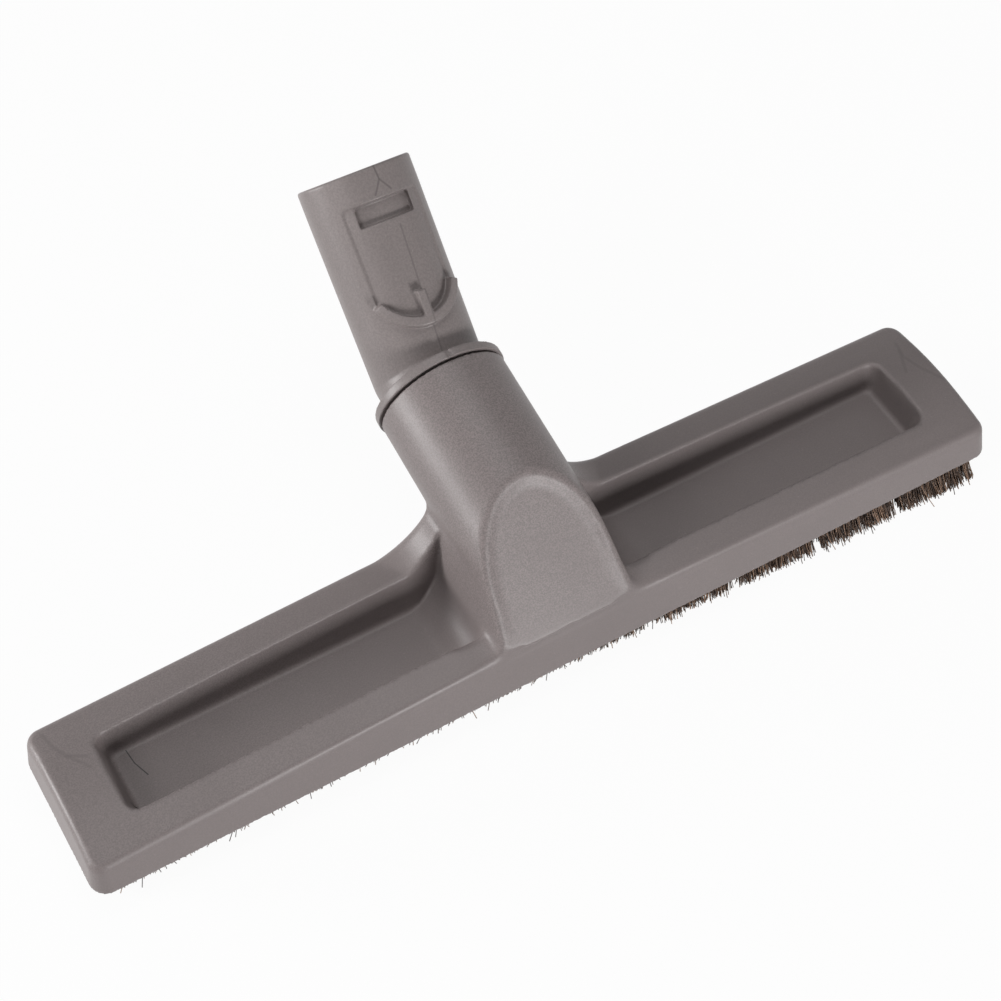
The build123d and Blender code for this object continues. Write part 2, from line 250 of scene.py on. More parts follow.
# The strips of hair
STRIPS_PER_ROW = 10
FRONT_STRIPS = [f"front_bristles_{index:02d}" for index in range(1, STRIPS_PER_ROW + 1)]
REAR_STRIPS = [f"rear_bristles_{index:02d}" for index in range(1, STRIPS_PER_ROW + 1)]
FRONT_SEED = 11
REAR_SEED = 29
TIP_CLEARANCE = 0.1 * MILLIMETRE

# A single hair: its points, sides, shortest length, thinning, and how it strays and leans
STRAND_POINTS = 4
STRAND_SIDES = 3
SHORTEST_HAIR = 0.84
TIP_THINNING = 0.6
TUFT_SCALE = 420.0
CALM_STRAY = 0.6
WILD_STRAY = 3.0
LEAN_FADE = (0.4, 1.0)
HAIR_ROUGHNESS = 0.42

# Where each shade of hair lies among the tints, the colour it comes from and its share of that
HAIR_SHADES = (
    (0.0, "dark_colour", 1.0),
    (0.4, "dark_colour", 2.0),
    (0.7, "tan_colour", 0.4),
    (1.0, "tan_colour", 1.0),
)

# What a row of bristles is grown from
BRISTLE_INPUTS = (
    ("Strip count", "NodeSocketInt"),
    ("Strip pitch", "NodeSocketFloat"),
    ("Strip length", "NodeSocketFloat"),
    ("Strip width", "NodeSocketFloat"),
    ("Row place", "NodeSocketVector"),
    ("Hair length", "NodeSocketFloat"),
    ("Hair radius", "NodeSocketFloat"),
    ("Hair density", "NodeSocketFloat"),
    ("Left lean", "NodeSocketFloat"),
    ("Right lean", "NodeSocketFloat"),
    ("Spread", "NodeSocketFloat"),
    ("Clump", "NodeSocketFloat"),
    ("Half row", "NodeSocketFloat"),
    ("Seed", "NodeSocketInt"),
    ("Material", "NodeSocketMaterial"),
)

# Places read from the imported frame
swivel = frame["joints"][0]
mounts = {mount["name"]: mount for mount in frame["record"]["mounts"]}
neck_mouth = Vector(swivel["pos_m"])
neck_axis = Vector(swivel["axis"]).normalized()
tube_axis = Vector(mounts["wand_tube"]["axis"]).normalized()
tube_point = Vector(mounts["wand_tube"]["pos_m"])
tube_side = tube_axis.cross(neck_axis).normalized()
tube_front = tube_side.cross(tube_axis).normalized() * -1
skirt_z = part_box("housing")[0].z
plate_bottom_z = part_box("sole_plate")[0].z
plate_top_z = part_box("sole_plate")[1].z
bar_middle_y = (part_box("sole_plate")[0].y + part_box("sole_plate")[1].y) / 2
pocket_floor_z = plate_top_z + POCKET_FLOOR_WALL
facet_foot_y = bar_middle_y - FACET_FOOT_REACH


class BrushHousing(bpy.types.PropertyGroup):
    """The bar, dome and neck."""

    colour: bpy.props.FloatVectorProperty(
        name="Plastic colour",
        description="Warm grey of the housing's plastic",
        default=(0.202, 0.173, 0.17),
        min=0.0,
        max=1.0,
        subtype="COLOR",
    )
    roughness: bpy.props.FloatProperty(
        name="Roughness", description="How matt the skin is", default=0.42, min=0.0, max=1.0, subtype="FACTOR"
    )
    voxel: bpy.props.FloatProperty(
        name="Detail",
        description="Size of the smallest form kept",
        default=0.00055,
        min=0.0004,
        unit="LENGTH",
    )
    front_lean: bpy.props.FloatProperty(
        name="Front lean",
        description="How far the front wall's top leans back",
        default=0.0021,
        unit="LENGTH",
    )
    end_lean: bpy.props.FloatProperty(
        name="End lean", description="How far the end walls' tops lean inwards", default=0.0016, unit="LENGTH"
    )
    pocket_lean: bpy.props.FloatProperty(
        name="Pocket lean",
        description="How far the pockets' walls come in at the floor",
        default=0.002,
        unit="LENGTH",
    )
    rim_rounds: bpy.props.IntProperty(
        name="Rim rounds", description="Rounds of softening on the pockets' rims", default=4, min=0
    )
    blend_rounds: bpy.props.IntProperty(
        name="Blend rounds", description="Rounds of softening between the dome and the bar", default=12, min=0
    )
    corner_rounds: bpy.props.IntProperty(
        name="Corner rounds",
        description="Rounds of softening where the rim meets the dome",
        default=70,
        min=0,
    )
    border_rounds: bpy.props.IntProperty(
        name="Border rounds", description="Rounds of softening on the tongue's border", default=36, min=0
    )
    foot_rounds: bpy.props.IntProperty(
        name="Foot rounds", description="Rounds of softening on the tongue's foot", default=9, min=0
    )
    grain: bpy.props.FloatProperty(
        name="Grain size",
        description="Size of the fine moulded texture",
        default=0.00045,
        min=0.0001,
        unit="LENGTH",
    )


class BrushElbow(bpy.types.PropertyGroup):
    """The tube that swivels in the neck."""

    colour: bpy.props.FloatVectorProperty(
        name="Plastic colour",
        description="Lighter grey of the elbow's plastic",
        default=(0.212, 0.184, 0.18),
        min=0.0,
        max=1.0,
        subtype="COLOR",
    )
    roughness: bpy.props.FloatProperty(
        name="Roughness", description="How matt the skin is", default=0.42, min=0.0, max=1.0, subtype="FACTOR"
    )
    voxel: bpy.props.FloatProperty(
        name="Detail",
        description="Size of the smallest form kept",
        default=0.00032,
        min=0.00025,
        unit="LENGTH",
    )
    edge_rounds: bpy.props.IntProperty(
        name="Edge rounds", description="Rounds of softening on the edges", default=3, min=0
    )
    flange_gap: bpy.props.FloatProperty(
        name="Flange gap",
        description="How far the flange's underside is lifted",
        default=0.0004,
        min=0.0,
        unit="LENGTH",
    )
    stop_growth: bpy.props.FloatProperty(
        name="Stop growth",
        description="How much fuller the crescent stop is than its block",
        default=0.8,
        min=0.0,
    )
    stop_width: bpy.props.FloatProperty(
        name="Stop width",
        description="How much wider the crescent stop is than its block",
        default=0.0009,
        unit="LENGTH",
    )
    seam_width: bpy.props.FloatProperty(
        name="Seam width", description="Width of the parting line", default=0.0004, min=0.00005, unit="LENGTH"
    )


class BrushBristles(bpy.types.PropertyGroup):
    """The two rows of hair."""

    front_density: bpy.props.FloatProperty(
        name="Front hairs per square metre",
        description="How close the front hairs stand",
        default=6.6e6,
        min=1e5,
    )
    rear_density: bpy.props.FloatProperty(
        name="Rear hairs per square metre",
        description="How close the rear hairs stand",
        default=4.4e6,
        min=1e5,
    )
    hair_radius: bpy.props.FloatProperty(
        name="Hair radius",
        description="Radius of a hair at its root",
        default=0.00015,
        min=0.00002,
        unit="LENGTH",
    )
    left_lean: bpy.props.FloatProperty(
        name="Left lean",
        description="How far tips lean forward at the left end",
        default=-0.0015,
        unit="LENGTH",
    )
    right_lean: bpy.props.FloatProperty(
        name="Right lean",
        description="How far tips lean forward at the right end",
        default=0.0048,
        unit="LENGTH",
    )
    spread: bpy.props.FloatProperty(
        name="Spread", description="How far single tips stray", default=0.0009, min=0.0, unit="LENGTH"
    )
    clump: bpy.props.FloatProperty(
        name="Clump",
        description="How far tufts of tips lean together",
        default=0.0022,
        min=0.0,
        unit="LENGTH",
    )
    dark_colour: bpy.props.FloatVectorProperty(
        name="Dark hair",
        description="Colour of the darkest hairs",
        default=(0.034, 0.02, 0.014),
        min=0.0,
        max=1.0,
        subtype="COLOR",
    )
    tan_colour: bpy.props.FloatVectorProperty(
        name="Tan hair",
        description="Colour of the lightest hairs",
        default=(0.38, 0.24, 0.165),
        min=0.0,
        max=1.0,
        subtype="COLOR",
    )


class BrushUnderside(bpy.types.PropertyGroup):
    """The sole plate, its screws and the ring."""

    plate_colour: bpy.props.FloatVectorProperty(
        name="Plate colour",
        description="Dark grey of the sole plate",
        default=(0.07, 0.067, 0.065),
        min=0.0,
        max=1.0,
        subtype="COLOR",
    )
    steel_colour: bpy.props.FloatVectorProperty(
        name="Steel colour",
        description="Colour of the screws and the ring",
        default=(0.52, 0.51, 0.49),
        min=0.0,
        max=1.0,
        subtype="COLOR",
    )


class BrushStage(bpy.types.PropertyGroup):
    """Floor, light and camera."""

    floor_colour: bpy.props.FloatVectorProperty(
        name="Floor colour",
        description="Pale floor",
        default=(0.92, 0.92, 0.92),
        min=0.0,
        max=1.0,
        subtype="COLOR",
    )
    floor_glow: bpy.props.FloatProperty(
        name="Floor glow",
        description="Share of plain white in the floor",
        default=0.955,
        min=0.0,
        max=1.0,
        subtype="FACTOR",
    )
    sky_strength: bpy.props.FloatProperty(
        name="Sky strength", description="Even light from all round", default=0.03, min=0.0
    )
    lamp_power: bpy.props.FloatProperty(
        name="Lamp power", description="Share of each lamp's power", default=1.0, min=0.0
    )
    camera_place: bpy.props.FloatVectorProperty(
        name="Camera place",
        description="Where the camera stands",
        default=(-0.17988, -0.343674, 0.5541),
        unit="LENGTH",
    )
    lens: bpy.props.FloatProperty(
        name="Lens",
        description="Focal length in millimetres",
        default=77.0,
        min=10.0,
        subtype="DISTANCE_CAMERA",
    )


class Term:
    """A socket of a node tree, with arithmetic that adds Math nodes."""

    def __init__(self, maker, socket):
        self.maker = maker
        self.socket = socket

    def __add__(self, other):
        return self.maker.math("ADD", self, other)

    def __radd__(self, other):
        return self.maker.math("ADD", other, self)

    def __sub__(self, other):
        return self.maker.math("SUBTRACT", self, other)

    def __rsub__(self, other):
        return self.maker.math("SUBTRACT", other, self)

    def __mul__(self, other):
        return self.maker.math("MULTIPLY", self, other)

    def __rmul__(self, other):
        return self.maker.math("MULTIPLY", other, self)


class NodeMaker:
    """Adds nodes to one tree."""

    def __init__(self, tree):
        self.tree = tree

    def node(self, kind, settings=None, sockets=None, output=0):
        """Adds a node with its settings and its sockets' values or links, and gives back one output."""
        made = self.tree.nodes.new(kind)
        for name, value in (settings or {}).items():
            if name == "stops":
                self.set_stops(made.color_ramp, value)
            else:
                setattr(made, name, value)
        for key, value in (sockets or {}).items():
            if isinstance(value, Term):
                self.tree.links.new(value.socket, made.inputs[key])
            else:
                made.inputs[key].default_value = value
        return Term(self, made.outputs[output]) if made.outputs else made

    def set_stops(self, ramp, stops):
        """Gives a colour ramp its positions and colours."""
        while len(ramp.elements) < len(stops):
            ramp.elements.new(1.0)
        for element, (position, colour) in zip(ramp.elements, stops):
            element.position = position
            element.color = colour

    def math(self, operation, first, second):
        """One Math node on two values."""
        return self.node("ShaderNodeMath", {"operation": operation}, {0: first, 1: second})

    def fade(self, value, low, high):
        """0 below low, 1 above high and smooth between them."""
        sockets = {"Value": value, "From Min": low, "From Max": high}
        return self.node("ShaderNodeMapRange", {"interpolation_type": "SMOOTHSTEP"}, sockets)

    def vector_math(self, operation, first, second):
        """One Vector Math node on two vectors."""
        output = "Value" if operation in ("DOT_PRODUCT", "DISTANCE") else "Vector"
        return self.node("ShaderNodeVectorMath", {"operation": operation}, {0: first, 1: second}, output)

    def parts(self, vector):
        """The X, Y and Z of a vector."""
        made = self.node("ShaderNodeSeparateXYZ", {}, {0: vector}).socket.node
        return [Term(self, output) for output in made.outputs]

    def noise(self, place, scale, detail, roughness=0.5):
        """Plain noise, about 0 to 1."""
        sockets = {"Vector": place, "Scale": scale, "Detail": detail, "Roughness": roughness}
        return self.node("ShaderNodeTexNoise", {}, sockets, "Fac")

    def mix(self, factor, first, second):
        """The first colour where the factor is 0, the second where it is 1."""
        sockets = {0: factor, MIX_FIRST: first, MIX_SECOND: second}
        return self.node("ShaderNodeMix", {"data_type": "RGBA"}, sockets, MIX_RESULT)


def opaque(colour, share=1.0):
    """A colour with its alpha, darkened or lightened by the share."""
    return (*[channel * share for channel in colour], 1.0)


def new_material(name):
    """An empty material, and the maker of its nodes."""
    material = bpy.data.materials.new(name)
    material.use_nodes = True
    material.node_tree.nodes.clear()
    return material, NodeMaker(material.node_tree)


def finish_material(maker, sockets):
    """Ends a material in one Principled shader."""
    shader = maker.node("ShaderNodeBsdfPrincipled", {}, sockets)
    maker.node("ShaderNodeOutputMaterial", {}, {"Surface": shader})


def line_mask(maker, place, points, width):
    """1 on a broken line through flat points in millimetres, fading to 0 at the width from it."""
    places = [Vector((*point, 0.0)) * MILLIMETRE for point in points]
    nearest = None
    for start, end in zip(places, places[1:]):
        run = end - start
        from_start = maker.vector_math("SUBTRACT", place, tuple(start))
        along = maker.vector_math("DOT_PRODUCT", from_start, tuple(run / run.length_squared))
        along = maker.node("ShaderNodeClamp", {}, {"Value": along})
        foot = maker.node("ShaderNodeVectorMath", {"operation": "SCALE"}, {0: tuple(run), "Scale": along})
        gap = maker.vector_math("DISTANCE", from_start, foot)
        nearest = gap if nearest is None else maker.math("MINIMUM", nearest, gap)
    return 1.0 - maker.fade(nearest, width * LINE_CORE, width)


def flat_place(maker, place, origin, first, second):
    """A place as its distances along two directions from an origin."""
    from_origin = maker.vector_math("SUBTRACT", place, tuple(origin))
    distances = {
        "X": maker.vector_math("DOT_PRODUCT", from_origin, tuple(first)),
        "Y": maker.vector_math("DOT_PRODUCT", from_origin, tuple(second)),
    }
    return maker.node("ShaderNodeCombineXYZ", {}, distances)


def moulded_plastic(name, colour, roughness, grain, depth, sanding_and_sheen=None, marks=None):
    """Matt plastic with a fine grain, faint clouds, and the sanding and marks that it is given; where sanding is
    given the grain is coarser and the colour lighter, the lift a painted sheen.
    """
    material, maker = new_material(name)
    place = maker.node("ShaderNodeTexCoord", {}, {}, "Object")
    fine = maker.noise(place, 1.0 / grain, GRAIN_DETAIL, GRAIN_ROUGHNESS)
    cloud = maker.noise(place, CLOUD_SCALE, CLOUD_DETAIL)
    speck = maker.noise(place, SPECK_SCALE / grain, SPECK_DETAIL)
    # Sanding coarsens the grain and lifts the mean colour; the lift is a painted sheen where the faces catch the
    # light
    sanding_and_sheen_share = sanding_and_sheen(maker, place) if sanding_and_sheen else PLAIN_SANDING
    dark, pale = [
        maker.mix(sanding_and_sheen_share, opaque(colour, smooth), opaque(colour, sanded_sheen_shade))
        for smooth, sanded_sheen_shade in zip(SMOOTH_SHADES, SANDED_AND_SHEEN_SHADES)
    ]
    tone = maker.mix(maker.fade(fine, *GRAIN_FADE), dark, pale)
    tone = maker.mix(maker.fade(cloud, *CLOUD_FADE) * CLOUD_STRENGTH, tone, opaque(colour, CLOUD_SHADE))
    tone = maker.mix(maker.fade(speck, *SPECK_FADE) * SPECK_STRENGTH, tone, opaque(colour, SPECK_SHADE))
    for mask, share in marks(maker, place) if marks else ():
        tone = maker.mix(mask, tone, opaque(colour, share))
    gloss = roughness + (cloud - NOISE_MIDDLE) * CLOUD_GLOSS + (fine - NOISE_MIDDLE) * GRAIN_GLOSS
    relief = {"Strength": GRAIN_STRENGTH, "Distance": depth, "Height": fine}
    sockets = {
        "Base Color": tone,
        "Roughness": gloss,
        "Normal": maker.node("ShaderNodeBump", {}, relief),
        "Specular IOR Level": SPECULAR_LEVEL,
    }
    finish_material(maker, sockets)
    return material


def steel(name, colour, roughness):
    """Plain bright steel with fine drawn scratches."""
    material, maker = new_material(name)
    place = maker.node("ShaderNodeTexCoord", {}, {}, "Object")
    drawn = maker.noise(place, DRAWN_SCALE, DRAWN_DETAIL)
    dark, pale = [opaque(colour, share) for share in DRAWN_SHADES]
    tone = maker.mix(drawn, dark, pale)
    gloss = roughness + (drawn - NOISE_MIDDLE) * DRAWN_GLOSS
    finish_material(maker, {"Base Color": tone, "Roughness": gloss, "Metallic": 1.0})
    return material


def hair_material(look):
    """Coarse natural hair, each strand with its own shade."""
    material, maker = new_material("Bristle hair")
    tint = maker.node("ShaderNodeAttribute", {"attribute_name": "tint"}, {}, "Fac")
    stops = [(place, opaque(getattr(look, source), share)) for place, source, share in HAIR_SHADES]
    tone = maker.node("ShaderNodeValToRGB", {"stops": stops}, {"Fac": tint}, "Color")
    sockets = {"Base Color": tone, "Roughness": HAIR_ROUGHNESS, "Specular IOR Level": SPECULAR_LEVEL}
    finish_material(maker, sockets)
    return material


def dress(piece, material):
    """Gives a piece one material."""
    piece.data.materials.clear()
    piece.data.materials.append(material)


def fine_copy(node, name, voxel, turn):
    """A new piece in the shape of a CAD node, remade as a fine even mesh that lies on the node's faces."""
    mesh = frame["nodes"][node].data.copy()
    joined = bmesh.new()
    joined.from_mesh(mesh)
    bmesh.ops.remove_doubles(joined, verts=joined.verts, dist=MERGE_DISTANCE)
    joined.to_mesh(mesh)
    joined.free()
    mesh.transform(turn)
    model = bpy.data.objects.new(f"{name}_model", mesh)
    piece = bpy.data.objects.new(name, mesh)
    for made in (model, piece):
        bpy.context.scene.collection.objects.link(made)
    voxels = piece.modifiers.new("Voxels", "REMESH")
    voxels.mode = "VOXEL"
    voxels.voxel_size = voxel
    voxels.use_smooth_shade = True
    wrap = piece.modifiers.new("Wrap", "SHRINKWRAP")
    wrap.target = model
    wrap.wrap_method = "NEAREST_SURFACEPOINT"
    plain_mesh(piece)
    bpy.data.objects.remove(model)
    bpy.data.meshes.remove(mesh)
    piece.data.materials.clear()
    return piece


def plain_mesh(piece):
    """Makes a piece's mesh what its modifiers make of it."""
    evaluated = piece.evaluated_get(bpy.context.evaluated_depsgraph_get())
    mesh = bpy.data.meshes.new_from_object(evaluated)
    piece.modifiers.clear()
    piece.data = mesh
    mesh.name = piece.name


def thin_out(piece):
    """Takes triangles out of the flat places, and keeps the shading that the large faces give."""
    piece.data.calc_loop_triangles()
    fewer = piece.modifiers.new("Fewer", "DECIMATE")
    fewer.ratio = min(1.0, MOST_TRIANGLES / len(piece.data.loop_triangles))
    shading = piece.modifiers.new("Shading", "WEIGHTED_NORMAL")
    shading.weight = NORMAL_WEIGHT
    plain_mesh(piece)


class Skin:
    """A mesh's vertices as an array, with each one's neighbours."""

    def __init__(self, mesh):
        self.mesh = mesh
        count = len(mesh.vertices)
        places = np.zeros(count * 3)
        mesh.vertices.foreach_get("co", places)
        self.places = places.reshape(-1, 3)
        ends = np.zeros(len(mesh.edges) * 2, dtype=np.int64)
        mesh.edges.foreach_get("vertices", ends)
        self.first, self.second = ends.reshape(-1, 2).T
        self.share = np.bincount(self.first, minlength=count) + np.bincount(self.second, minlength=count)

    def average(self, values):
        """The mean of each vertex's neighbours, for one column of values or several."""
        means = np.empty_like(values)
        for column, mean in zip(values.T, means.T):
            total = np.bincount(self.first, column[self.second], len(values))
            total += np.bincount(self.second, column[self.first], len(values))
            mean[:] = total / self.share
        return means

    def soften(self, weight, rounds):
        """Draws each vertex towards its neighbours, as far as its weight says."""
        step = SOFTEN_STEP * weight[:, None]
        for _ in range(rounds):
            self.places += step * (self.average(self.places) - self.places)

    def spread(self, weight, rounds):
        """Lets a weight run out over the neighbours."""
        column = weight[:, None]
        for _ in range(rounds):
            column = np.maximum(column * SPREAD_KEEP, self.average(column))
        return column[:, 0]

    def normals(self):
        """Outward directions."""
        self.store()
        normals = np.zeros(len(self.places) * 3)
        self.mesh.vertex_normals.foreach_get("vector", normals)
        return normals.reshape(-1, 3)

    def edge_height(self):
        """How far each vertex stands out above its neighbours, less than 0 in a hollow."""
        return np.sum((self.places - self.average(self.places)) * self.normals(), axis=1)

    def store(self):
        """Moves the mesh's vertices to the array's places."""
        self.mesh.vertices.foreach_set("co", self.places.ravel())
        self.mesh.update()


def ramp(value, low, high):
    """0 below low, 1 above high and smooth between them, for arrays."""
    share = np.clip((value - low) / (high - low), 0.0, 1.0)
    return share * share * (3.0 - 2.0 * share)


class BRUSH_OT_stage(bpy.types.Operator):
    """Make the floor, the soft light and the camera"""

    bl_idname = "brush.stage"
    bl_label = "Stage"

    def execute(self, context):
        stage = context.scene.brush_stage
        scene = context.scene
        scene.view_settings.view_transform = "Standard"
        self.make_floor(stage)
        self.make_sky(scene, stage)
        for name, azimuth, height, size, power in LAMPS:
            self.make_lamp(name, azimuth, height, size, power * stage.lamp_power)
        self.make_camera(scene, stage)
        return {"FINISHED"}

    def make_floor(self, stage):
        """A pale floor that shows plain white with the head's shadow."""
        bpy.ops.mesh.primitive_plane_add(size=FLOOR_SIZE)
        floor = bpy.context.object
        floor.name = "Floor"
        material, maker = new_material("Pale floor")
        seen = self.seen_plainly(maker)
        matt = maker.node("ShaderNodeBsdfDiffuse", {}, {"Color": opaque(stage.floor_colour)})
        glow = maker.node("ShaderNodeEmission", {}, {"Color": opaque(WHITE), "Strength": 1.0})
        surface = maker.node("ShaderNodeMixShader", {}, {0: seen * stage.floor_glow, 1: matt, 2: glow})
        maker.node("ShaderNodeOutputMaterial", {}, {"Surface": surface})
        dress(floor, material)

    def make_sky(self, scene, stage):
        """Faint even light, and white where it is seen."""
        world = bpy.data.worlds.new("Studio")
        scene.world = world
        world.use_nodes = True
        world.node_tree.nodes.clear()
        maker = NodeMaker(world.node_tree)
        seen = self.seen_plainly(maker)
        strength = stage.sky_strength + seen * (1.0 - stage.sky_strength)
        sky = maker.node("ShaderNodeBackground", {}, {"Color": opaque(WHITE), "Strength": strength})
        maker.node("ShaderNodeOutputWorld", {}, {"Surface": sky})

    def seen_plainly(self, maker):
        """1 for what the camera sees, straight, mirrored or through something clear."""
        path = maker.node("ShaderNodeLightPath").socket.node
        rays = [Term(maker, path.outputs[f"Is {kind} Ray"]) for kind in ("Camera", "Glossy", "Transmission")]
        return maker.math("MAXIMUM", maker.math("MAXIMUM", rays[0], rays[1]), rays[2])

    def make_lamp(self, name, azimuth, height, size, power):
        """A square lamp that points at the head."""
        data = bpy.data.lights.new(name, "AREA")
        data.shape = "SQUARE"
        data.size = size
        data.energy = power
        lamp = bpy.data.objects.new(name, data)
        bpy.context.scene.collection.objects.link(lamp)
        turn = math.radians(azimuth)
        rise = math.radians(height)
        outward = Vector((math.sin(turn) * math.cos(rise), -math.cos(turn) * math.cos(rise), math.sin(rise)))
        lamp.location = LAMP_AIM + outward * LAMP_REACH
        lamp.rotation_mode = "QUATERNION"
        lamp.rotation_quaternion = (-outward).to_track_quat("-Z", "Y")
        lamp.visible_camera = False

    def make_camera(self, scene, stage):
        """The camera at the photograph's place and angle."""
        data = bpy.data.cameras.new("Camera")
        data.lens = stage.lens
        data.sensor_width = SENSOR_WIDTH
        data.clip_start = NEAREST_SEEN
        data.clip_end = FARTHEST_SEEN
        camera = bpy.data.objects.new("Camera", data)
        scene.collection.objects.link(camera)
        turn = Matrix((CAMERA_ACROSS, -CAMERA_BELOW, -CAMERA_AHEAD)).transposed()
        camera.rotation_mode = "QUATERNION"
        camera.rotation_quaternion = turn.to_quaternion()
        camera.location = stage.camera_place
        scene.camera = camera


class BRUSH_OT_housing(bpy.types.Operator):
    """Make the soft moulded housing"""

    bl_idname = "brush.housing"
    bl_label = "Housing"

    def execute(self, context):
        look = context.scene.brush_housing
        turn = Euler(REMESH_TURN).to_matrix()
        piece = fine_copy("housing", "housing_moulding", look.voxel, turn.to_4x4())
        skin = Skin(piece.data)
        skin.places = skin.places @ np.array(turn)
        guard = self.edges_to_keep(skin.places)
        face, border, foot = self.tongue_parts(skin.places)
        kept = skin.places[face]
        self.lean_walls(skin.places, look)
        skin.places[face] = kept
        skin.soften(guard, FIRST_ROUNDS)
        hollow = -skin.edge_height() / look.voxel
        crease = skin.spread(ramp(hollow, CREASE_START, CREASE_FULL), CREASE_ROUNDS)
        upper = guard * self.above_pocket_floor(skin.places)
        skin.soften(upper * self.pocket_rim(skin.places) * (1.0 - crease), look.rim_rounds)
        skin.soften(upper * self.dome_sides(skin.places) * (1.0 - crease), look.blend_rounds)
        skin.soften(upper * self.dome_corners(skin.places), look.corner_rounds)
        skin.soften(border, look.border_rounds)
        skin.soften(foot, look.foot_rounds)
        skin.store()
        thin_out(piece)
        plastic = moulded_plastic(
            "Housing plastic",
            look.colour,
            look.roughness,
            look.grain,
            HOUSING_GRAIN_DEPTH,
            self.sanded_and_sheen_places,
            self.top_marks,
        )
        dress(piece, plastic)
        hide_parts("housing")
        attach(piece, "head")
        return {"FINISHED"}

    def above_pocket_floor(self, places):
        """1 a little above the pockets' floors, 0 below."""
        return ramp(places[:, 2] - pocket_floor_z, *ABOVE_FLOOR)

    def pocket_rim(self, places):
        """1 along the pockets' top edges, fading out beside them."""
        beyond_end = np.abs(places[:, 0]) - POCKET_END
        beyond_side = np.abs(places[:, 1] - bar_middle_y) - POCKET_HALF_WIDTH
        from_edge = np.abs(np.maximum(beyond_end, beyond_side))
        off_dome = ramp(np.abs(places[:, 0]), *OFF_DOME)
        return off_dome * (1.0 - ramp(from_edge, *BESIDE_RIM))

    def dome_sides(self, places):
        """1 on the dome's sides and the webs, 0 along the bar and at the tongue's foot."""
        across = np.abs(places[:, 0])
        near = 1.0 - ramp(across, *DOME_REACH)
        beside = ramp(across, *DOME_FLANK)
        behind = ramp(places[:, 1] - facet_foot_y, *BEHIND_TONGUE)
        return near * np.maximum(beside, behind)

    def dome_corners(self, places):
        """1 where the front rim runs into the dome's sides."""
        across = np.abs(places[:, 0]) - CORNER_X
        along = places[:, 1] - bar_middle_y - CORNER_Y
        return 1.0 - ramp(np.hypot(across, along), *BESIDE_CORNER)

    def edges_to_keep(self, places):
        """0 at the skirt's foot and the neck's mouth, 1 away from them."""
        height = places[:, 2] - skirt_z
        to_mouth = -(places - np.array(neck_mouth)) @ np.array(neck_axis)
        return ramp(height, *ABOVE_SKIRT) * ramp(to_mouth, *BELOW_MOUTH)

    def tongue_parts(self, places):
        """The tongue's sunk face as true and false, 1 along its border and 1 along its foot."""
        slope = math.radians(FACET_SLOPE)
        from_foot = places - np.array((0.0, facet_foot_y, FACET_FOOT_Z))
        outward = np.array((0.0, -math.sin(slope), math.cos(slope)))
        across = np.abs(from_foot[:, 0])
        up = from_foot @ np.array((0.0, math.cos(slope), math.sin(slope)))
        out = from_foot @ outward
        rise = np.maximum(up - TONGUE_WAIST, 0.0) / TONGUE_RISE
        side = TONGUE_HALF_WIDTH + TONGUE_SPLAY * np.maximum(TONGUE_WAIST - up, 0.0)
        reach = np.sqrt((across / side) ** 2 + rise**2)
        steep = np.sqrt((across / side**2) ** 2 + (rise / TONGUE_RISE) ** 2) / np.maximum(reach, NEAR_ZERO)
        inside = (1.0 - reach) / np.maximum(steep, 1.0)
        on_plane = np.abs(out + FACET_SINK) < FACE_MARGIN
        face = on_plane & (inside > -FACE_OVERLAP) & (up > -FACE_DROP)
        near = ramp(out, *NEAR_FACET)
        border = (1.0 - ramp(np.abs(inside), *BESIDE_BORDER)) * ramp(up, *ABOVE_FOOT) * near
        foot = (1.0 - ramp(np.abs(up), *BESIDE_FOOT)) * (inside > -FOOT_OVERLAP) * near
        return face, border, foot

    def lean_walls(self, places, look):
        """Leans the bar's front and ends back, and the pockets' walls in, as far as a mould needs."""
        across = np.abs(places[:, 0])
        sign = np.sign(places[:, 0])
        back = places[:, 1] - bar_middle_y
        height = places[:, 2] - pocket_floor_z
        depth = 1.0 - np.clip(height / POCKET_DEPTH, 0.0, 1.0)
        in_pocket = ramp(across, *POCKET_START) * (across < POCKET_END + LEAN_MARGIN)
        in_pocket *= (np.abs(back) < POCKET_HALF_WIDTH + LEAN_MARGIN) * (height > -LEAN_MARGIN)
        inwards = look.pocket_lean * depth * in_pocket
        rise = np.clip((places[:, 2] - skirt_z) / LEAN_HEIGHT, 0.0, 1.0)
        front = np.clip((FRONT_LEAN_START - back) / LEAN_REACH, 0.0, 1.0)
        end = np.clip((across - END_LEAN_START) / LEAN_REACH, 0.0, 1.0)
        to_back = look.front_lean * front * rise
        outer = np.clip((across - POCKET_MIDDLE) / (POCKET_FLOOR_END - POCKET_MIDDLE), 0.0, 1.0)
        to_middle = look.end_lean * end * rise + inwards * outer
        places[:, 0] -= sign * to_middle
        places[:, 1] += to_back - inwards * np.clip(back / POCKET_FLOOR_HALF_WIDTH, -1.0, 1.0)
        places[:, 2] += RIM_SLOPE * to_back

    def sanded_and_sheen_places(self, maker, place):
        """Sanding of the mould, with a painted sheen in the same share: most on the dome and neck, some on the
        left half, little on the rest.
        """
        across, back, height = maker.parts(place)
        beside = maker.fade(maker.math("ABSOLUTE", across, 0.0), *SANDED_SHEEN_ACROSS)
        dome = (1.0 - beside) * maker.fade(height, *SANDED_SHEEN_HEIGHT)
        left = (1.0 - maker.fade(across, *SANDED_SHEEN_LEFT)) * LEFT_SANDING_AND_SHEEN
        off_front = maker.fade(back, *[facet_foot_y + edge for edge in SANDED_SHEEN_FRONT])
        return maker.math("MAXIMUM", maker.math("MAXIMUM", dome, left) * off_front, LEAST_SANDING_AND_SHEEN)

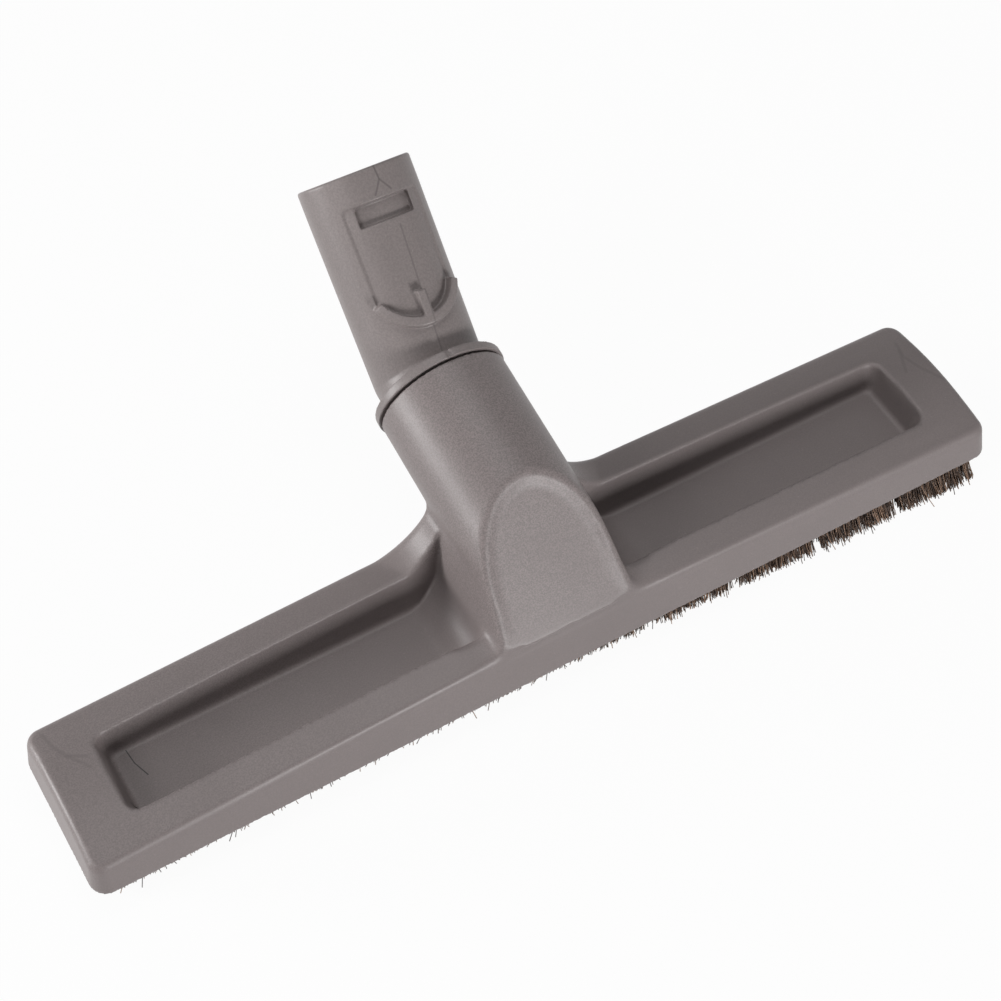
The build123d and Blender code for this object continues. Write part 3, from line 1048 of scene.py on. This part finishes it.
    def top_marks(self, maker, place):
        """Flow lines in the ends of the bar and two stray hairs in the left pocket."""
        flat = flat_place(maker, place, (0.0, bar_middle_y, 0.0), (1.0, 0.0, 0.0), (0.0, 1.0, 0.0))
        height = maker.parts(place)[2]
        upper = maker.fade(height, *[plate_top_z + edge for edge in ABOVE_PLATE])
        for points in (LEFT_FLOW, LEFT_FLOW_BRANCH, RIGHT_FLOW, RIGHT_FLOW_BRANCH):
            yield line_mask(maker, flat, points, FLOW_WIDTH) * upper * FLOW_STRENGTH, FLOW_SHADE
        for points in (POCKET_HAIR, CORNER_HAIR):
            yield line_mask(maker, flat, points, STRAY_WIDTH) * upper, STRAY_SHADE


class BRUSH_OT_elbow(bpy.types.Operator):
    """Make the soft moulded elbow"""

    bl_idname = "brush.elbow"
    bl_label = "Elbow"

    def execute(self, context):
        look = context.scene.brush_elbow
        upright = Matrix((tube_side, tube_front, tube_axis)).to_4x4()
        piece = fine_copy("swivel_elbow", "elbow_moulding", look.voxel, upright)
        skin = Skin(piece.data)
        skin.places = skin.places @ np.array(upright.to_3x3())
        self.open_flange_gap(skin, look)
        self.fill_out_stop(skin, look)
        skin.soften(np.ones(len(skin.places)), look.edge_rounds)
        skin.store()
        thin_out(piece)
        plastic = moulded_plastic(
            "Elbow plastic",
            look.colour,
            look.roughness,
            ELBOW_GRAIN,
            ELBOW_GRAIN_DEPTH,
            marks=self.mould_lines,
        )
        dress(piece, plastic)
        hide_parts("swivel_elbow")
        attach(piece, "elbow")
        return {"FINISHED"}

    def open_flange_gap(self, skin, look):
        """Lifts the flange's underside, so that a dark line shows between it and the neck."""
        from_mouth = skin.places - np.array(neck_mouth)
        height = from_mouth @ np.array(neck_axis)
        radius = np.linalg.norm(from_mouth - height[:, None] * np.array(neck_axis), axis=1)
        under = ramp(height, *FLANGE_START) * (1.0 - ramp(height, *FLANGE_END))
        outer = ramp(radius, *FLANGE_OUTSIDE)
        skin.places += (look.flange_gap * under * outer)[:, None] * np.array(neck_axis)

    def fill_out_stop(self, skin, look):
        """Makes the crescent stop and its rib stand fuller above the tube, and the stop wider."""
        from_point = skin.places - np.array(tube_point)
        along = from_point @ np.array(tube_axis)
        outward = from_point - along[:, None] * np.array(tube_axis)
        radius = np.linalg.norm(outward, axis=1)
        front = from_point @ np.array(tube_front)
        zone = ramp(along, STOP_START - STOP_FADE, STOP_START) * (along < STOP_END) * (front > 0.0)
        growth = look.stop_growth * zone * np.maximum(radius - STOP_RADIUS, 0.0)
        skin.places += (growth / np.maximum(radius, STOP_RADIUS))[:, None] * outward
        across = from_point @ np.array(tube_side)
        beyond = np.hypot(across, along - STOP_MIDDLE) - STOP_ARC_RADIUS
        below = ramp(beyond, -STOP_EDGE, STOP_EDGE) * (1.0 - ramp(beyond, STOP_RUN_IN, STOP_RUN_OUT))
        lower = (front > 0.0) * ramp(STOP_MIDDLE - along, 0.0, STOP_TIPS)
        skin.places -= (look.stop_width * below * lower)[:, None] * np.array(tube_axis)

    def mould_lines(self, maker, place):
        """The parting line down the tube's front and the forked flow line at its mouth."""
        flat = flat_place(maker, place, tube_point, tube_side, tube_axis)
        from_point = maker.vector_math("SUBTRACT", place, tuple(tube_point))
        front = maker.vector_math("DOT_PRODUCT", from_point, tuple(tube_front))
        facing = maker.fade(front, *FRONT_OF_TUBE)
        width = bpy.context.scene.brush_elbow.seam_width
        for points, strength in MOULD_LINES:
            yield line_mask(maker, flat, points, width) * facing * strength, MOULD_SHADE


class BRUSH_OT_underside(bpy.types.Operator):
    """Finish the sole plate, its screws and the retaining ring"""

    bl_idname = "brush.underside"
    bl_label = "Underside"

    def execute(self, context):
        look = context.scene.brush_underside
        nodes = frame["nodes"]
        plastic = moulded_plastic(
            "Sole plastic",
            look.plate_colour,
            PLATE_ROUGHNESS,
            PLATE_GRAIN,
            PLATE_GRAIN_DEPTH,
        )
        dress(nodes["sole_plate"], plastic)
        dress(nodes["plate_screws"], steel("Screw steel", look.steel_colour, SCREW_ROUGHNESS))
        dress(nodes["retaining_ring"], steel("Ring steel", look.steel_colour, RING_ROUGHNESS))
        return {"FINISHED"}


def hair_roots(maker, given):
    """Points scattered over the strips, each with a tint and a way to stray."""
    step = maker.node("ShaderNodeCombineXYZ", {}, {"X": given["Strip pitch"]})
    places = maker.node(
        "GeometryNodeMeshLine",
        {"mode": "OFFSET"},
        {"Count": given["Strip count"], "Start Location": given["Row place"], "Offset": step},
    )
    footprint = maker.node(
        "GeometryNodeMeshGrid",
        {},
        {"Size X": given["Strip length"], "Size Y": given["Strip width"], "Vertices X": 2, "Vertices Y": 2},
    )
    strips = maker.node("GeometryNodeInstanceOnPoints", {}, {"Points": places, "Instance": footprint})
    strips = maker.node("GeometryNodeRealizeInstances", {}, {"Geometry": strips})
    roots = maker.node(
        "GeometryNodeDistributePointsOnFaces",
        {},
        {"Mesh": strips, "Density": given["Hair density"], "Seed": given["Seed"]},
    )
    tint = maker.node(
        "FunctionNodeRandomValue",
        {"data_type": "FLOAT"},
        {"Seed": given["Seed"] + 1},
        RANDOM_RESULT,
    )
    stray = maker.node(
        "FunctionNodeRandomValue",
        {"data_type": "FLOAT_VECTOR"},
        {"Min": (-1.0, -1.0, -1.0), "Max": (1.0, 1.0, 1.0), "Seed": given["Seed"] + 2},
    )
    for name, kind, value in (("tint", "FLOAT", tint), ("stray", "FLOAT_VECTOR", stray)):
        roots = maker.node(
            "GeometryNodeStoreNamedAttribute",
            {"data_type": kind, "domain": "POINT"},
            {"Geometry": roots, "Name": name, "Value": value},
        )
    return roots


def straight_hairs(maker, given, roots):
    """A straight strand down from each root, some a little shorter."""
    tip = maker.node("ShaderNodeCombineXYZ", {}, {"Z": given["Hair length"] * -1.0})
    strand = maker.node("GeometryNodeCurvePrimitiveLine", {}, {"End": tip})
    strand = maker.node("GeometryNodeResampleCurve", {}, {"Curve": strand, "Count": STRAND_POINTS})
    lengths = {RANDOM_LEAST: SHORTEST_HAIR, RANDOM_MOST: 1.0, "Seed": given["Seed"] + 3}
    ragged = maker.node("FunctionNodeRandomValue", {"data_type": "FLOAT"}, lengths, RANDOM_RESULT)
    strands = {"Points": roots, "Instance": strand, "Scale": ragged}
    hairs = maker.node("GeometryNodeInstanceOnPoints", {}, strands)
    return maker.node("GeometryNodeRealizeInstances", {}, {"Geometry": hairs})


def hair_bend(maker, given, down):
    """How far each point of a hair is bent aside: its row's lean, its tuft's and its own."""
    drift = maker.node("GeometryNodeInputNamedAttribute", {"data_type": "FLOAT_VECTOR"}, {"Name": "stray"})
    drift_side, drift_front, wild = maker.parts(drift)
    place = maker.node("GeometryNodeInputPosition")
    across = maker.parts(place)[0]
    row = {"Value": across, "From Min": given["Half row"] * -1.0, "From Max": given["Half row"]}
    share = maker.node("ShaderNodeMapRange", {}, row)
    lean = given["Left lean"] + maker.fade(share, *LEAN_FADE) * (given["Right lean"] - given["Left lean"])
    tufts = {"Vector": place, "Scale": TUFT_SCALE, "Detail": 1.0}
    tuft = maker.node("ShaderNodeTexNoise", {}, tufts, "Color")
    tuft_side, tuft_front = [(part - NOISE_MIDDLE) * given["Clump"] for part in maker.parts(tuft)[:2]]
    wild = wild * wild
    reach = given["Spread"] * (CALM_STRAY + wild * wild * wild * wild * WILD_STRAY)
    side_stray = drift_side * reach + tuft_side
    front_stray = drift_front * reach + tuft_front - lean
    curl = down * down
    return maker.node("ShaderNodeCombineXYZ", {}, {"X": side_stray * curl, "Y": front_stray * curl})


def bristle_tree():
    """A node tree that grows one row of hair strips from their sizes."""
    tree = bpy.data.node_groups.new("Bristle row", "GeometryNodeTree")
    tree.interface.new_socket("Geometry", in_out="OUTPUT", socket_type="NodeSocketGeometry")
    for name, kind in BRISTLE_INPUTS:
        tree.interface.new_socket(name, in_out="INPUT", socket_type=kind)
    maker = NodeMaker(tree)
    given_node = tree.nodes.new("NodeGroupInput")
    given = {name: Term(maker, given_node.outputs[name]) for name, _ in BRISTLE_INPUTS}
    hairs = straight_hairs(maker, given, hair_roots(maker, given))
    down = maker.node("GeometryNodeSplineParameter", {}, {}, "Factor")
    bend = hair_bend(maker, given, down)
    hairs = maker.node("GeometryNodeSetPosition", {}, {"Geometry": hairs, "Offset": bend})
    thickness = 1.0 - down * TIP_THINNING
    hairs = maker.node("GeometryNodeSetCurveRadius", {}, {"Curve": hairs, "Radius": thickness})
    ring = {"Resolution": STRAND_SIDES, "Radius": given["Hair radius"]}
    outline = maker.node("GeometryNodeCurvePrimitiveCircle", {}, ring)
    sweep = {"Curve": hairs, "Profile Curve": outline, "Fill Caps": True}
    tubes = maker.node("GeometryNodeCurveToMesh", {}, sweep)
    tubes = maker.node("GeometryNodeRealizeInstances", {}, {"Geometry": tubes})
    tubes = maker.node("GeometryNodeSetMaterial", {}, {"Geometry": tubes, "Material": given["Material"]})
    maker.node("NodeGroupOutput", {}, {"Geometry": tubes})
    return tree


class BRUSH_OT_bristles(bpy.types.Operator):
    """Grow the two rows of hair"""

    bl_idname = "brush.bristles"
    bl_label = "Bristles"

    def execute(self, context):
        look = context.scene.brush_bristles
        tree = bristle_tree()
        material = hair_material(look)
        self.grow_row("front_hair", FRONT_STRIPS, look.front_density, FRONT_SEED, tree, material, look)
        self.grow_row("rear_hair", REAR_STRIPS, look.rear_density, REAR_SEED, tree, material, look)
        return {"FINISHED"}

    def grow_row(self, name, strips, density, seed, tree, material, look):
        """One row of hair in the place of its strips."""
        low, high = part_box(strips[0])
        next_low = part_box(strips[1])[0]
        last_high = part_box(strips[-1])[1]
        sizes = {
            "Strip count": len(strips),
            "Strip pitch": next_low.x - low.x,
            "Strip length": high.x - low.x,
            "Strip width": high.y - low.y,
            "Row place": ((low.x + high.x) / 2, (low.y + high.y) / 2, plate_bottom_z),
            "Hair length": plate_bottom_z - low.z - TIP_CLEARANCE,
            "Hair radius": look.hair_radius,
            "Hair density": density,
            "Left lean": look.left_lean,
            "Right lean": look.right_lean,
            "Spread": look.spread,
            "Clump": look.clump,
            "Half row": last_high.x,
            "Seed": seed,
            "Material": material,
        }
        piece = bpy.data.objects.new(name, bpy.data.meshes.new(name))
        bpy.context.scene.collection.objects.link(piece)
        grown = piece.modifiers.new("Bristle row", "NODES")
        grown.node_group = tree
        for item in tree.interface.items_tree:
            if item.in_out == "INPUT":
                grown[item.identifier] = sizes[item.name]
        plain_mesh(piece)
        if not piece.data.vertices:
            raise RuntimeError(f"{name} grew no hair")
        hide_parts(*strips)
        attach(piece, "head")


class BRUSH_PT_panel(bpy.types.Panel):
    """Lists the pieces of the brush head"""

    bl_idname = "BRUSH_PT_panel"
    bl_label = "Brush head"
    bl_space_type = "VIEW_3D"
    bl_region_type = "UI"
    bl_category = "Brush head"

    def draw(self, context):
        for operator in OPERATORS:
            self.layout.operator(operator.bl_idname)


OPERATORS = (BRUSH_OT_stage, BRUSH_OT_housing, BRUSH_OT_elbow, BRUSH_OT_underside, BRUSH_OT_bristles)
GROUPS = {
    "brush_housing": BrushHousing,
    "brush_elbow": BrushElbow,
    "brush_underside": BrushUnderside,
    "brush_bristles": BrushBristles,
    "brush_stage": BrushStage,
}


def register():
    """Registers the settings, operators and panel."""
    for name, group in GROUPS.items():
        bpy.utils.register_class(group)
        setattr(bpy.types.Scene, name, bpy.props.PointerProperty(type=group))
    for kind in (*OPERATORS, BRUSH_PT_panel):
        bpy.utils.register_class(kind)


def unregister():
    """Takes the settings, operators and panel away again."""
    for kind in (BRUSH_PT_panel, *OPERATORS):
        bpy.utils.unregister_class(kind)
    for name, group in GROUPS.items():
        delattr(bpy.types.Scene, name)
        bpy.utils.unregister_class(group)


def main():
    """Makes every piece in order."""
    register()
    bpy.ops.brush.stage()
    bpy.ops.brush.housing()
    bpy.ops.brush.elbow()
    bpy.ops.brush.underside()
    bpy.ops.brush.bristles()


if __name__ == "__main__":
    main()
